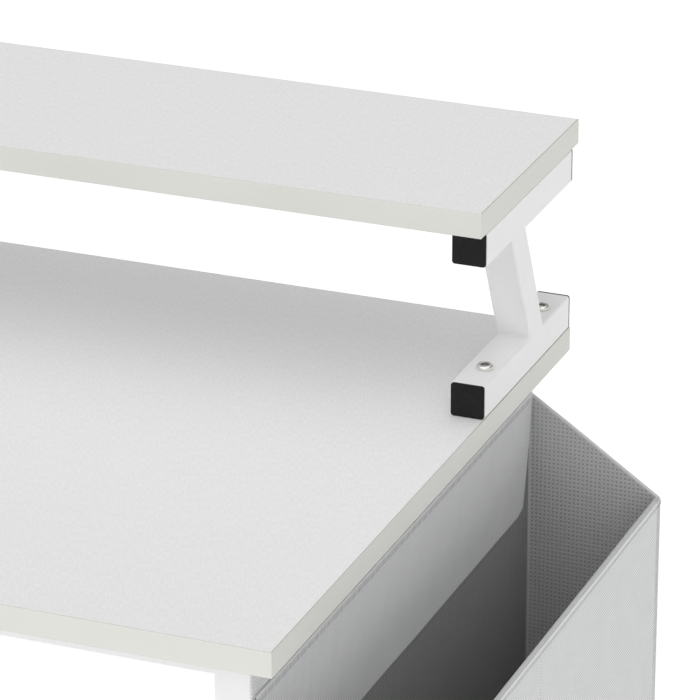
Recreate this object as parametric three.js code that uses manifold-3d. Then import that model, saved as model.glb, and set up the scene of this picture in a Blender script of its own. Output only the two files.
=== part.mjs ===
// Computer desk with a raised monitor shelf and a fabric side bag.
// Millimetres, +Z up, the user sits on the -Y side, +X is the user's right.
// Everything is laid out about the middle of the worktop with the floor at
// z = 0; the last group then moves the desk so that its overall box is
// centred on the origin.
import * as THREE from 'three';
import { mergeVertices } from 'three/addons/utils/BufferGeometryUtils.js';
import Module from 'manifold-3d';

const wasm = await Module();
wasm.setup();

// ---- driving dimensions ----
const gap = 0.3; // clearance between separate pieces

const topWidth = 1200;
const topDepth = 560;
const boardThickness = 18;
const topHeight = 750;
const bandThickness = 0.5;

const shelfDepth = 200;
const shelfRise = 155; // worktop's upper face to shelf's upper face
const shelfOverhang = 10; // how far the shelf passes the worktop's back edge

const tubeSize = 25;
const tubeWall = 1.2;
const tubeRadius = 2;

const footingLength = 178; // the two horizontal tubes of a shelf bracket
const bracketSetback = 10; // bracket's front behind the shelf's front
const strutForward = 1.5; // strut's middle ahead of the bracket's middle
const strutLean = THREE.MathUtils.degToRad(24.5); // foot of the strut is further back
const capHead = 2.2;
const capSize = 24.6;
const capPlugLength = 12;
const boltInset = 31; // bolt centre from the bracket's end
const boltOutset = 1.5; // bolt centre outwards of the tube's middle

const boltHeadRadius = 6;
const boltHeadHeight = 3.2;
const boltRim = 1.1; // upright edge below the dome
const boltDomeSteps = 4;
const boltShankRadius = 3;
const boltSocketRadius = 3.3; // across the corners of the hexagon, halved
const boltSocketDepth = 2.2;
const boltFlatRadius = 4; // flat ring round the socket
const boltBite = 13; // depth of thread in the worktop
const screwHeadRadius = 4;
const screwHeadHeight = 2.4;
const screwCrownRadius = 2.8; // flat top of the rounded head
const screwHeadRim = 1.2; // upright edge of the head
const screwShankRadius = 2;
const screwPoint = 3;
const screwBite = 13;

const legInsetX = 22.5;
const legInsetY = 20;
const railHeight = 15;
const stretcherHeight = 120; // middle of the lower side bars above the floor
const backBarHeight = 230;
const worktopScrewX = 350;

const padRadius = 12;
const padHeight = 9;
const padChamfer = 1.5;
const padShoulder = 3;
const studRadius = 4;
const studLength = 34;
const legPlugFlange = 3;
const legPlugDepth = 18;

const bagLength = 520;
const bagWidth = 100;
const bagDrop = 46; // worktop's upper face to the desk-side lip
const bagSlant = 67; // the outer lip is this much lower
const bagHeight = 330; // desk-side wall
const bagWall = 3.2; // outer cloth, stiffener and lining
const bagDeskWall = 0.8; // the wall beside the legs has no stiffener
const bagBottom = 4;
const flapTuck = 2; // flap's top edge below the lip
const flapDrop = 84;
const flapThickness = 0.6;
const flapEndInset = 7;
const flapEndTaper = 20;
const hangingOverlap = 14; // hanging panel sewn behind the desk-side wall
const clothThickness = 0.4;
const sleeveEndRoom = 2; // sleeve's ends to the rail's ends

const through = 1; // how far a cutter passes a face
const cornerSegments = 3;
const roundSegments = 20;

// ---- derived places ----
const topBottom = topHeight - boardThickness;
const shelfTop = topHeight + shelfRise;
const shelfBottom = shelfTop - boardThickness;
const shelfBack = topDepth / 2 + shelfOverhang;
const shelfFront = shelfBack - shelfDepth;
const bracketFront = shelfFront + bracketSetback;
const bracketBack = bracketFront + footingLength;
const bracketMiddle = (bracketFront + bracketBack) / 2;
const bracketX = topWidth / 2 - tubeSize / 2;
const upperTubeBottom = shelfBottom - tubeSize;
const legX = topWidth / 2 - legInsetX - tubeSize / 2;
const legY = topDepth / 2 - legInsetY - tubeSize / 2;
const legBottom = padHeight + legPlugFlange + 2 * gap;
const railZ = topBottom - railHeight / 2;
const bagLip = topHeight - bagDrop;
const bagFloor = bagLip - bagHeight;
const hangingX = topWidth / 2 - legInsetX + gap; // desk-side face of the hanging panel
const bagDeskX = hangingX + clothThickness + gap;
const bagOuterX = bagDeskX + bagWidth;

// ---- materials ----
function finish(color, roughness, metalness = 0) {
  return new THREE.MeshStandardMaterial({ color, roughness, metalness });
}
const whiteLaminate = finish(0xe6e6e6, 0.45);
const creamEdge = finish(0xd9dad2, 0.5);
const whitePowderCoat = finish(0xebebec, 0.4, 0.1);
const blackPlastic = finish(0x242424, 0.55);
const brightNickel = finish(0xcfcfcf, 0.2, 1);
const greyFabric = finish(0xcfd1d1, 0.95);

const desk = new THREE.Group();

function add(name, geometry, material, x = 0, y = 0, z = 0) {
  const mesh = new THREE.Mesh(geometry, material);
  mesh.name = name;
  mesh.position.set(x, y, z);
  desk.add(mesh);
  return mesh;
}

// ---- solid helpers ----
function toSolid(geometry) {
  const bare = geometry.clone();
  bare.deleteAttribute('normal');
  bare.deleteAttribute('uv');
  const merged = mergeVertices(bare, 1e-4);
  const index = merged.index.array;
  const kept = [];
  for (let i = 0; i < index.length; i += 3) {
    const [a, b, c] = [index[i], index[i + 1], index[i + 2]];
    if (a !== b && b !== c && c !== a) kept.push(a, b, c);
  }
  return new wasm.Manifold(new wasm.Mesh({
    numProp: 3,
    vertProperties: new Float32Array(merged.attributes.position.array),
    triVerts: new Uint32Array(kept),
  }));
}

function toGeometry(solid) {
  const mesh = solid.getMesh();
  const geometry = new THREE.BufferGeometry();
  geometry.setAttribute('position', new THREE.BufferAttribute(mesh.vertProperties, 3));
  geometry.setIndex(new THREE.BufferAttribute(mesh.triVerts, 1));
  geometry.computeVertexNormals();
  return geometry;
}

// Cuts every tool away from a body.
function cut(body, tools) {
  let solid = toSolid(body);
  for (const tool of tools) solid = solid.subtract(toSolid(tool));
  return toGeometry(solid);
}

// An upright round cutter from z0 to z1.
function drill(radius, x, y, z0, z1) {
  const bore = new THREE.CylinderGeometry(radius, radius, z1 - z0, roundSegments);
  bore.rotateX(Math.PI / 2);
  bore.translate(x, y, (z0 + z1) / 2);
  return bore;
}

function block(x0, x1, y0, y1, z0, z1) {
  const box = new THREE.BoxGeometry(x1 - x0, y1 - y0, z1 - z0);
  box.translate((x0 + x1) / 2, (y0 + y1) / 2, (z0 + z1) / 2);
  return box;
}

// A rectangle with rounded corners, as a shape or as a hole's path.
function roundedRectangle(target, width, depth, radius) {
  const w = width / 2;
  const d = depth / 2;
  target.moveTo(w, d - radius);
  target.absarc(w - radius, d - radius, radius, 0, Math.PI / 2);
  target.absarc(radius - w, d - radius, radius, Math.PI / 2, Math.PI);
  target.absarc(radius - w, radius - d, radius, Math.PI, 1.5 * Math.PI);
  target.absarc(w - radius, radius - d, radius, 1.5 * Math.PI, 2 * Math.PI);
  target.closePath();
  return target;
}

// A square-section tube, open at both ends, along +Z from z = 0.
function tube(width, depth, length) {
  const section = roundedRectangle(new THREE.Shape(), width, depth, tubeRadius);
  const inside = roundedRectangle(
    new THREE.Path(), width - 2 * tubeWall, depth - 2 * tubeWall, tubeRadius - tubeWall);
  section.holes.push(inside);
  return new THREE.ExtrudeGeometry(
    section, { depth: length, bevelEnabled: false, curveSegments: cornerSegments });
}

// The same tube lying along X or Y, centred on the origin.
function tubeAlongX(depth, height, length) {
  const geometry = tube(height, depth, length);
  geometry.translate(0, 0, -length / 2);
  geometry.rotateY(Math.PI / 2);
  return geometry;
}

function tubeAlongY(width, height, length) {
  const geometry = tube(width, height, length);
  geometry.translate(0, 0, -length / 2);
  geometry.rotateX(Math.PI / 2);
  return geometry;
}

// ---- boards and their edge bands ----
// The four strips close the raw edges; the long ones run the full width.
function board(prefix, width, depth, yMiddle, zBottom, holes) {
  const x = width / 2;
  const y0 = yMiddle - depth / 2;
  const y1 = yMiddle + depth / 2;
  const z1 = zBottom + boardThickness;
  const b = bandThickness;
  const core = block(-x + b, x - b, y0 + b, y1 - b, zBottom, z1);
  add(`${prefix}_board`, cut(core, holes), whiteLaminate);
  add(`${prefix}_edge_front`, block(-x, x, y0, y0 + b, zBottom, z1), creamEdge);
  add(`${prefix}_edge_back`, block(-x, x, y1 - b, y1, zBottom, z1), creamEdge);
  add(`${prefix}_edge_left`, block(-x, b - x, y0 + b, y1 - b, zBottom, z1), creamEdge);
  add(`${prefix}_edge_right`, block(x - b, x, y0 + b, y1 - b, zBottom, z1), creamEdge);
}

const fixingYs = [bracketFront + boltInset, bracketBack - boltInset];
const bracketPoints = [];
const boltPoints = [];
for (const side of [-1, 1]) {
  for (const y of fixingYs) {
    bracketPoints.push([side * bracketX, y]);
    boltPoints.push([side * (bracketX + boltOutset), y]);
  }
}
const worktopScrewPoints = [];
for (const x of [-worktopScrewX, worktopScrewX]) {
  worktopScrewPoints.push([x, -legY], [x, legY]);
}

const worktopHoles = boltPoints.map(([x, y]) =>
  drill(boltShankRadius + gap, x, y, topHeight - boltBite - gap, topHeight + through));
for (const [x, y] of worktopScrewPoints) {
  worktopHoles.push(drill(screwShankRadius + gap, x, y, topBottom - through, topBottom + screwBite + gap));
}
const shelfHoles = bracketPoints.map(([x, y]) =>
  drill(screwShankRadius + gap, x, y, shelfBottom - through, shelfBottom + screwBite + gap));

board('worktop', topWidth, topDepth, 0, topBottom, worktopHoles);
board('shelf', topWidth, shelfDepth, (shelfFront + shelfBack) / 2, shelfBottom, shelfHoles);

// ---- fasteners ----
// Low domed head with a hexagon socket, seated at z = 0, shank downwards.
function socketBolt(length) {
  const profile = [new THREE.Vector2(0, -length), new THREE.Vector2(boltShankRadius, -length)];
  profile.push(new THREE.Vector2(boltShankRadius, 0), new THREE.Vector2(boltHeadRadius, 0));
  for (let i = 0; i <= boltDomeSteps; i += 1) {
    const turn = (i / boltDomeSteps) * (Math.PI / 2);
    const radius = boltFlatRadius + (boltHeadRadius - boltFlatRadius) * Math.cos(turn);
    const height = boltRim + (boltHeadHeight - boltRim) * Math.sin(turn);
    profile.push(new THREE.Vector2(radius, height));
  }
  profile.push(new THREE.Vector2(0, boltHeadHeight));
  const body = new THREE.LatheGeometry(profile, roundSegments);
  body.rotateX(Math.PI / 2);
  const socketTall = boltSocketDepth + through;
  const socket = new THREE.CylinderGeometry(boltSocketRadius, boltSocketRadius, socketTall, 6);
  socket.rotateX(Math.PI / 2);
  socket.translate(0, 0, boltHeadHeight - boltSocketDepth + socketTall / 2);
  return cut(body, [socket]);
}

// Pan-head screw driven upwards, its head's upper face at z = 0.
function panScrew(length) {
  const body = new THREE.LatheGeometry([
    new THREE.Vector2(0, -screwHeadHeight),
    new THREE.Vector2(screwCrownRadius, -screwHeadHeight),
    new THREE.Vector2(screwHeadRadius, -screwHeadRim),
    new THREE.Vector2(screwHeadRadius, 0),
    new THREE.Vector2(screwShankRadius, 0),
    new THREE.Vector2(screwShankRadius, length - screwPoint),
    new THREE.Vector2(0, length),
  ], roundSegments);
  body.rotateX(Math.PI / 2);
  return body;
}

// ---- shelf brackets ----
// Moulded end cap: a head that covers the tube's end and a plug that fits inside it.
// It points towards +Y: the head's outer face is at y = 0.
function endCap() {
  const headShape = roundedRectangle(new THREE.Shape(), capSize, capSize, tubeRadius);
  const head = new THREE.ExtrudeGeometry(
    headShape, { depth: capHead, bevelEnabled: false, curveSegments: cornerSegments });
  const plugSize = tubeSize - 2 * tubeWall - 2 * gap;
  const plug = block(
    -plugSize / 2, plugSize / 2, -plugSize / 2, plugSize / 2, capHead / 2, capPlugLength);
  const cap = toGeometry(toSolid(head).add(toSolid(plug)));
  cap.rotateX(-Math.PI / 2);
  return cap;
}

const lowerTubeMiddle = topHeight + tubeSize / 2;
const upperTubeMiddle = shelfBottom - tubeSize / 2;
const bareTubeLength = footingLength - 2 * capHead - 2 * gap;

function bracket(side, x) {
  const boltX = x + Math.sign(x) * boltOutset;
  const place = (geometry, z) => geometry.translate(x, bracketMiddle, z);
  const lower = place(tubeAlongY(tubeSize, tubeSize, bareTubeLength), lowerTubeMiddle);
  const upper = place(tubeAlongY(tubeSize, tubeSize, bareTubeLength), upperTubeMiddle);
  const lowerHoles = fixingYs.map((y) =>
    drill(boltShankRadius + gap, boltX, y, topHeight - through, topHeight + tubeSize + through));
  const upperHoles = fixingYs.map((y) =>
    drill(screwShankRadius + gap, x, y, upperTubeBottom - through, shelfBottom + through));
  add(`${side}_bracket_lower_tube`, cut(lower, lowerHoles), whitePowderCoat);
  add(`${side}_bracket_upper_tube`, cut(upper, upperHoles), whitePowderCoat);

  // The strut is an upright tube sheared backwards as it goes down, so its
  // ends lie flat on the two horizontal tubes.
  const strutHeight = upperTubeBottom - topHeight - tubeSize - 2 * gap;
  const strut = tube(tubeSize, tubeSize / Math.cos(strutLean), strutHeight);
  strut.translate(0, 0, -strutHeight / 2);
  const shear = new THREE.Matrix4().makeShear(0, 0, 0, 0, 0, -Math.tan(strutLean));
  strut.applyMatrix4(shear);
  const strutZ = (topHeight + tubeSize + upperTubeBottom) / 2;
  add(`${side}_bracket_strut`, strut, whitePowderCoat, x, bracketMiddle - strutForward, strutZ);

  for (const [level, z] of [['lower', lowerTubeMiddle], ['upper', upperTubeMiddle]]) {
    const back = add(`${side}_${level}_back_cap`, endCap(), blackPlastic, x, bracketBack, z);
    back.rotation.z = Math.PI;
    add(`${side}_${level}_front_cap`, endCap(), blackPlastic, x, bracketFront, z);
  }
  const ends = [['front', fixingYs[0]], ['back', fixingYs[1]]];
  for (const [end, y] of ends) {
    const bolt = socketBolt(tubeSize + boltBite);
    add(`${side}_${end}_bolt`, bolt, brightNickel, boltX, y, topHeight + tubeSize + gap);
    const screw = panScrew(tubeSize + screwBite);
    add(`${side}_${end}_shelf_screw`, screw, brightNickel, x, y, upperTubeBottom - gap);
  }
}
bracket('left', -bracketX);
bracket('right', bracketX);

// ---- leg frame ----
// The rails and bars are cut to fit between the legs.
const legLength = topBottom - gap - legBottom;
const corners = [
  ['front_left', -legX, -legY],
  ['front_right', legX, -legY],
  ['back_left', -legX, legY],
  ['back_right', legX, legY],
];
for (const [corner, x, y] of corners) {
  add(`${corner}_leg`, tube(tubeSize, tubeSize, legLength), whitePowderCoat, x, y, legBottom);
}

const railLengthX = 2 * legX - tubeSize - 2 * gap;
const railLengthY = 2 * legY - tubeSize - 2 * gap;
function crossRail(name, y, z, holes) {
  const rail = tubeAlongX(tubeSize, railHeight, railLengthX);
  rail.translate(0, y, z);
  add(name, cut(rail, holes), whitePowderCoat);
}
for (const [name, y] of [['front_rail', -legY], ['back_rail', legY]]) {
  const holes = worktopScrewPoints.filter((point) => point[1] === y).map(([x]) =>
    drill(screwShankRadius + gap, x, y, topBottom - railHeight - through, topBottom + through));
  crossRail(name, y, railZ - gap, holes);
}
crossRail('back_lower_bar', legY, backBarHeight, []);

// The side rails sit lower by the thickness of the bag's sleeve.
const sleeveRoom = clothThickness + 2 * gap;
for (const [side, x] of [['left', -legX], ['right', legX]]) {
  const rail = tubeAlongY(tubeSize, railHeight, railLengthY);
  add(`${side}_rail`, rail, whitePowderCoat, x, 0, railZ - sleeveRoom);
  const bar = tubeAlongY(tubeSize, railHeight, railLengthY);
  add(`${side}_lower_bar`, bar, whitePowderCoat, x, 0, stretcherHeight);
}
for (const [x, y] of worktopScrewPoints) {
  const name = `${y < 0 ? 'front' : 'back'}_${x < 0 ? 'left' : 'right'}_worktop_screw`;
  add(name, panScrew(railHeight + screwBite), brightNickel, x, y, topBottom - railHeight - 2 * gap);
}

// ---- levelling feet ----
// The plug closes the leg's lower end and holds the stud.
function legPlug() {
  const flange = new THREE.ExtrudeGeometry(
    roundedRectangle(new THREE.Shape(), tubeSize, tubeSize, tubeRadius),
    { depth: legPlugFlange, bevelEnabled: false, curveSegments: cornerSegments });
  const half = tubeSize / 2 - tubeWall - gap;
  const insert = block(
    -half, half, -half, half, legPlugFlange / 2, legPlugFlange + legPlugDepth);
  const bore = drill(
    studRadius + gap, 0, 0, -through, legPlugFlange + legPlugDepth + through);
  return toGeometry(toSolid(flange).add(toSolid(insert)).subtract(toSolid(bore)));
}

// Round pad with a softened lower edge and an upright stud, floor at z = 0.
function levellingFoot() {
  const body = new THREE.LatheGeometry([
    new THREE.Vector2(0, 0),
    new THREE.Vector2(padRadius - padChamfer, 0),
    new THREE.Vector2(padRadius, padChamfer),
    new THREE.Vector2(padRadius, padHeight - padShoulder),
    new THREE.Vector2(padRadius - padChamfer, padHeight),
    new THREE.Vector2(studRadius, padHeight),
    new THREE.Vector2(studRadius, padHeight + studLength),
    new THREE.Vector2(0, padHeight + studLength),
  ], roundSegments);
  body.rotateX(Math.PI / 2);
  return body;
}
for (const [corner, x, y] of corners) {
  add(`${corner}_leg_plug`, legPlug(), blackPlastic, x, y, padHeight + gap);
  add(`${corner}_foot`, levellingFoot(), blackPlastic, x, y, 0);
}

// ---- side bag ----
// A side view outline, extruded along Y about the middle of the desk.
function alongY(outline, length) {
  const shape = new THREE.Shape(outline.map(([x, z]) => new THREE.Vector2(x, z)));
  const solid = new THREE.ExtrudeGeometry(shape, { depth: length, bevelEnabled: false });
  solid.translate(0, 0, -length / 2);
  solid.rotateX(Math.PI / 2);
  return solid;
}

// Open-topped shell whose lip slants down from the desk to the outer wall.
const shellOutline = [
  [bagDeskX, bagFloor],
  [bagOuterX, bagFloor],
  [bagOuterX, bagLip - bagSlant],
  [bagDeskX, bagLip],
];
const hollow = block(
  bagDeskX + bagDeskWall, bagOuterX - bagWall,
  bagWall - bagLength / 2, bagLength / 2 - bagWall,
  bagFloor + bagBottom, bagLip + through);
add('bag_shell', cut(alongY(shellOutline, bagLength), [hollow]), greyFabric);

// Tail of the outer cloth, folded over the lip and hanging inside the bag.
const flapX = bagDeskX + bagDeskWall + gap;
const flapTop = bagLip - flapTuck;
const flapShape = new THREE.Shape([
  new THREE.Vector2(flapEndInset - bagLength / 2, flapTop),
  new THREE.Vector2(flapEndInset + flapEndTaper - bagLength / 2, flapTop - flapDrop),
  new THREE.Vector2(bagLength / 2 - flapEndInset - flapEndTaper, flapTop - flapDrop),
  new THREE.Vector2(bagLength / 2 - flapEndInset, flapTop),
]);
const flap = new THREE.ExtrudeGeometry(flapShape, { depth: flapThickness, bevelEnabled: false });
flap.rotateX(Math.PI / 2);
flap.rotateZ(Math.PI / 2);
add('bag_inner_flap', flap, greyFabric, flapX, 0, 0);

// The hanging panel comes down outside the leg frame, behind the bag's wall.
const sleeveTop = topBottom - gap;
add('bag_hanging_panel', block(
  hangingX, hangingX + clothThickness, -bagLength / 2, bagLength / 2,
  bagLip - hangingOverlap, sleeveTop - clothThickness - gap), greyFabric);

// The sleeve goes over the side rail, down behind it and back under it.
const sleeveInnerX = legX - tubeSize / 2 - gap;
const sleeveLow = railZ - sleeveRoom - railHeight / 2 - gap;
const sleeveOutline = [
  [hangingX + clothThickness, sleeveTop],
  [sleeveInnerX - clothThickness, sleeveTop],
  [sleeveInnerX - clothThickness, sleeveLow - clothThickness],
  [hangingX - gap, sleeveLow - clothThickness],
  [hangingX - gap, sleeveLow],
  [sleeveInnerX, sleeveLow],
  [sleeveInnerX, sleeveTop - clothThickness],
  [hangingX + clothThickness, sleeveTop - clothThickness],
];
const sleeveLength = railLengthY - 2 * sleeveEndRoom;
add('bag_rail_sleeve', alongY(sleeveOutline, sleeveLength), greyFabric);

// ---- whole desk, its box centred on the origin ----
const boxCentreX = (bagOuterX - topWidth / 2) / 2;
const boxCentreY = shelfOverhang / 2;
const wholeDesk = new THREE.Group();
desk.position.set(-boxCentreX, -boxCentreY, 0);
wholeDesk.add(desk);

export default wholeDesk;
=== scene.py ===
"""Looks of a white computer desk with a raised monitor shelf and a fabric side bag.

Metres, +Z up, the user sits on the -Y side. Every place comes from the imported
model: its nodes' boxes and the height of the bag's outer lip.
"""

import math
import random

import bpy
import bmesh
from mathutils import Matrix, Vector, noise


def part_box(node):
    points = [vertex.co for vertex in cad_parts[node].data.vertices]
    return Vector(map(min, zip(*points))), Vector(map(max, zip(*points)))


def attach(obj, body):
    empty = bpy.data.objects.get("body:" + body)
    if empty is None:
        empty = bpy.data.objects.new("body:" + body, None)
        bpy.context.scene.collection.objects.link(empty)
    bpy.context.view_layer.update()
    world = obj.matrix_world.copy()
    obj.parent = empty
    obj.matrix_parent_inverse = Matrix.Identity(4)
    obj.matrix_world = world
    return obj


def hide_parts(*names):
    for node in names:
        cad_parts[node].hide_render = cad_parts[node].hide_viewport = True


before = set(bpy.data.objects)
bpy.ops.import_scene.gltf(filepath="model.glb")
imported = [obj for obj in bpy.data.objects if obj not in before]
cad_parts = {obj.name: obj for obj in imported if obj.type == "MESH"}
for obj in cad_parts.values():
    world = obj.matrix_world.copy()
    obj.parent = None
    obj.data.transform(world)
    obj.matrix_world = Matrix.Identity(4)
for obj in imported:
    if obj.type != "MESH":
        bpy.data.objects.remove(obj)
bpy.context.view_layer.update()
MM = 0.001
rng = random.Random(23)

# ---- camera: behind the user's right shoulder, through a long lens ----
CAMERA_FROM_CORNER = Vector((0.9765, -2.3359, 1.2724))
CAMERA_AZIMUTH = math.radians(21.598)
CAMERA_DIP = math.radians(22.922)
CAMERA_LENS = 236.87
CAMERA_SENSOR = 36.0
CAMERA_FAR = 60.0
corner = Vector((
    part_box("worktop_edge_right")[1].x,
    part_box("worktop_edge_front")[0].y,
    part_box("worktop_board")[1].z,
))
camera = bpy.data.objects.new("camera", bpy.data.cameras.new("camera"))
camera.data.lens = CAMERA_LENS
camera.data.sensor_width = CAMERA_SENSOR
camera.data.clip_end = CAMERA_FAR
camera.location = corner + CAMERA_FROM_CORNER
camera.rotation_euler = (math.pi / 2 - CAMERA_DIP, 0.0, CAMERA_AZIMUTH)
bpy.context.scene.collection.objects.link(camera)
bpy.context.scene.camera = camera


# ---- the bag's main sizes ----
BAG_LOW, BAG_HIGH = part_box("bag_shell")
BAG_WIDE = BAG_HIGH.x - BAG_LOW.x
BAG_LONG = BAG_HIGH.y - BAG_LOW.y
BAG_MIDDLE = (BAG_LOW.y + BAG_HIGH.y) / 2
LIP_DESK = BAG_HIGH.z
LIP_OUTER = max(v.co.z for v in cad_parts["bag_shell"].data.vertices
                if v.co.x > BAG_HIGH.x - MM)
BAG_WALL = 3.2 * MM
DESK_WALL = 0.8 * MM
BAG_CORNER = 2.6 * MM


# ---- materials ----
def add_node(tree, kind, inputs, settings):
    """A new node; an input takes either a number or colour, or another node's output."""
    made = tree.nodes.new(kind)
    for key, value in settings.items():
        setattr(made, key, value)
    for key, value in inputs.items():
        if isinstance(value, bpy.types.NodeSocket):
            tree.links.new(value, made.inputs[key])
        else:
            made.inputs[key].default_value = value
    return made


class Finish:
    """A procedural material and short ways to add nodes to it."""

    def __init__(self, name, **sockets):
        self.material = bpy.data.materials.new(name)
        self.material.use_nodes = True
        self.tree = self.material.node_tree
        self.shader = self.tree.nodes["Principled BSDF"]
        for socket, value in sockets.items():
            self.shader.inputs[socket.replace("_", " ")].default_value = value

    def node(self, kind, inputs, **settings):
        return add_node(self.tree, kind, inputs, settings)

    def place(self):
        return self.node("ShaderNodeTexCoord", {}).outputs["Object"]

    def cloth_place(self):
        return self.node("ShaderNodeUVMap", {}, uv_map="cloth").outputs["UV"]

    def scaled(self, vector, scale):
        return self.node("ShaderNodeMapping", {"Vector": vector, "Scale": scale}).outputs[0]

    def axes(self, vector):
        return self.node("ShaderNodeSeparateXYZ", {"Vector": vector}).outputs

    def math(self, operation, *values):
        inputs = dict(enumerate(values))
        return self.node("ShaderNodeMath", inputs, operation=operation).outputs[0]

    def noise(self, vector, scale, detail=2.0, roughness=0.5):
        inputs = {"Vector": vector, "Scale": scale, "Detail": detail, "Roughness": roughness}
        return self.node("ShaderNodeTexNoise", inputs).outputs[0]

    def cells(self, vector, scale, feature="SMOOTH_F1"):
        inputs = {"Vector": vector, "Scale": scale}
        return self.node("ShaderNodeTexVoronoi", inputs, feature=feature).outputs["Distance"]

    def span(self, value, low, high, to_low, to_high, smooth=False):
        inputs = {"Value": value, "From Min": low, "From Max": high,
                  "To Min": to_low, "To Max": to_high}
        kind = "SMOOTHSTEP" if smooth else "LINEAR"
        return self.node("ShaderNodeMapRange", inputs, interpolation_type=kind).outputs[0]

    def mix(self, factor, a, b):
        inputs = {0: factor, 6: a, 7: b}
        return self.node("ShaderNodeMix", inputs, data_type="RGBA").outputs[2]

    def bump(self, height, distance, strength=1.0, after=None):
        inputs = {"Height": height, "Distance": distance, "Strength": strength}
        if after is not None:
            inputs["Normal"] = after
        return self.node("ShaderNodeBump", inputs).outputs[0]

    def set(self, socket, value):
        self.tree.links.new(value, self.shader.inputs[socket])


def grey(value, warm=0.0):
    """A near-neutral colour; warm above zero leans to cream."""
    return (value * (1 + warm), value * (1 + warm * 0.7), value * (1 - warm), 1.0)


def tinted(red, green, blue):
    return (red, green, blue, 1.0)


GRAIN_TURN = math.radians(-21.0)
DOT_PITCH = 3.2 * MM
DOT_RADIUS = 0.84 * MM
# Within END_LINING of the bag's ends the lining is painted paler: painted light on its end walls.
END_LINING = 6.5 * MM
END_WALL_PAINTED_LIGHT = 0.70
END_WALL_PAINTED_LIGHT_GREY = 0.68
WANDER = 0.6 * MM


def laminate():
    """Melamine-faced board: a fine pressed grain, a little askew of the depth, satin."""
    f = Finish("white_laminate", IOR=1.48)
    where = f.place()
    askew = {"Vector": where, "Rotation": (0, 0, GRAIN_TURN)}
    turned = f.node("ShaderNodeMapping", askew).outputs[0]
    pores = f.noise(f.scaled(turned, (820.0, 170.0, 820.0)), 1.0, 2.0, 0.4)
    speck = f.noise(where, 1100.0, 2.0)
    cloud = f.noise(where, 9.0, 3.0)
    tone = f.math("ADD", f.math("MULTIPLY", pores, 0.93), f.math("MULTIPLY", cloud, 0.07))
    f.set("Base Color", f.mix(f.span(tone, 0.36, 0.64, 0.0, 1.0), grey(0.802), grey(0.852)))
    f.set("Roughness", f.span(speck, 0.3, 0.7, 0.40, 0.56))
    first = f.bump(pores, 0.00010, 0.7)
    f.set("Normal", f.bump(speck, 0.00002, 0.6, first))
    return f.material


def edge_band():
    """Extruded plastic strip with faint lengthwise drawing marks."""
    f = Finish("cream_edge_band", IOR=1.46)
    where = f.place()
    marks = f.noise(f.scaled(where, (6.0, 6.0, 900.0)), 1.0, 3.0)
    speck = f.noise(where, 1100.0, 2.0)
    cloud = f.noise(where, 14.0, 2.0)
    f.set("Base Color", f.mix(f.span(cloud, 0.3, 0.7, 0.0, 1.0),
                              tinted(0.690, 0.697, 0.652), tinted(0.712, 0.719, 0.675)))
    f.set("Roughness", f.span(speck, 0.3, 0.7, 0.44, 0.60))
    first = f.bump(marks, 0.00003, 0.6)
    f.set("Normal", f.bump(speck, 0.000015, 0.6, first))
    return f.material


def glue():
    """The thin line of hot glue between a board and its band."""
    f = Finish("glue_line", Roughness=0.7)
    where = f.place()
    tone = f.noise(where, 300.0)
    f.set("Base Color", f.mix(tone, tinted(0.30, 0.29, 0.24), tinted(0.42, 0.41, 0.35)))
    f.set("Normal", f.bump(f.noise(where, 2200.0), 0.00003))
    return f.material


def powder_coat():
    """White powder coat: tight orange peel and rare dust specks."""
    f = Finish("white_powder_coat", IOR=1.5, Coat_Weight=0.08, Coat_Roughness=0.25)
    where = f.place()
    peel = f.noise(where, 780.0, 2.0, 0.45)
    speck = f.cells(where, 190.0, "F1")
    cloud = f.noise(where, 22.0, 2.0)
    base = f.mix(f.span(cloud, 0.3, 0.7, 0.0, 1.0), grey(0.835), grey(0.86))
    dust = f.span(speck, 0.03, 0.06, 0.35, 0.0)
    f.set("Base Color", f.mix(dust, base, grey(0.72)))
    f.set("Roughness", f.span(peel, 0.3, 0.7, 0.34, 0.46))
    f.set("Normal", f.bump(peel, 0.00004, 0.7))
    return f.material


def black_plastic(name, low, high):
    """Moulded plastic with a spark-eroded skin, rubbed paler in patches."""
    f = Finish(name, IOR=1.46, Specular_IOR_Level=0.25)
    where = f.place()
    skin = f.noise(where, 2600.0, 2.0)
    rub = f.noise(where, 260.0, 4.0, 0.62)
    f.set("Base Color", f.mix(f.span(rub, 0.52, 0.75, 0.0, 1.0), grey(low), grey(high)))
    f.set("Roughness", f.span(rub, 0.35, 0.7, 0.62, 0.44))
    f.set("Normal", f.bump(skin, 0.00004, 0.8))
    return f.material


def metal(name, tone, rough_low, rough_high, marks_scale):
    """Plated steel with fine turning marks."""
    f = Finish(name, Metallic=1.0)
    where = f.place()
    marks = f.noise(f.scaled(where, (1.0, 1.0, 6.0)), marks_scale, 3.0)
    stain = f.noise(where, 400.0, 3.0)
    f.set("Base Color", f.mix(f.span(stain, 0.35, 0.7, 0.0, 1.0), tone,
                              tuple(c * 0.86 for c in tone[:3]) + (1.0,)))
    f.set("Roughness", f.span(marks, 0.3, 0.7, rough_low, rough_high))
    f.set("Normal", f.bump(marks, 0.00001, 0.5))
    return f.material


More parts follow.
